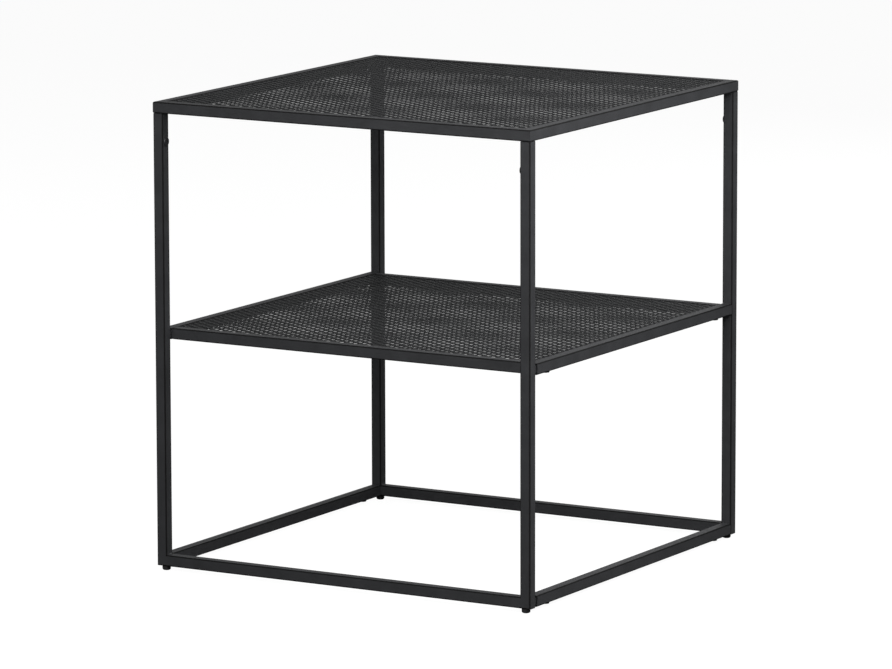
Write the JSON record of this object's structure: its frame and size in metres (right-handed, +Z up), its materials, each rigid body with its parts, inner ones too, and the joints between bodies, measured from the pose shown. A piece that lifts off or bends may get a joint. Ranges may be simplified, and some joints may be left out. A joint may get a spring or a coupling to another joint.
{
  "type": "two-tier side table",
  "caption": "Square side table of black powder-coated steel tube, with an expanded-metal top and a matching lower shelf.",
  "frame": {"origin": "centre of the footprint, on the floor", "axes": "+Z up, +X to the right seen from the front, +Y from the front to the back"},
  "size_m": [0.453, 0.455, 0.5],
  "materials": {
    "frame_powder_coat": "satin black powder coat with a fine texture",
    "mesh_powder_coat": "satin black powder coat",
    "bolt_black_zinc": "black zinc plating",
    "foot_plastic": "moulded black polyethylene"
  },
  "bodies": {
    "root": {"base_bolts": "bolt_black_zinc", "base_peg_back_left": "frame_powder_coat", "base_peg_back_right": "frame_powder_coat", "base_peg_front_left": "frame_powder_coat", "base_peg_front_right": "frame_powder_coat", "base_rail_back": "frame_powder_coat", "base_rail_front": "frame_powder_coat", "base_rail_left": "frame_powder_coat", "base_rail_right": "frame_powder_coat", "foot_back_left": "foot_plastic", "foot_back_right": "foot_plastic", "foot_front_left": "foot_plastic", "foot_front_right": "foot_plastic", "leg_back_left": "frame_powder_coat", "leg_back_right": "frame_powder_coat", "leg_front_left": "frame_powder_coat", "leg_front_right": "frame_powder_coat", "shelf_bolts": "bolt_black_zinc", "shelf_mesh": "mesh_powder_coat", "shelf_peg_back_left": "frame_powder_coat", "shelf_peg_back_right": "frame_powder_coat", "shelf_peg_front_left": "frame_powder_coat", "shelf_peg_front_right": "frame_powder_coat", "shelf_rail_back": "frame_powder_coat", "shelf_rail_front": "frame_powder_coat", "shelf_rail_left": "frame_powder_coat", "shelf_rail_right": "frame_powder_coat", "top_bolts": "bolt_black_zinc", "top_mesh": "mesh_powder_coat", "top_peg_back_left": "frame_powder_coat", "top_peg_back_right": "frame_powder_coat", "top_peg_front_left": "frame_powder_coat", "top_peg_front_right": "frame_powder_coat", "top_rail_back": "frame_powder_coat", "top_rail_front": "frame_powder_coat", "top_rail_left": "frame_powder_coat", "top_rail_right": "frame_powder_coat"}
  },
  "joints": []
}
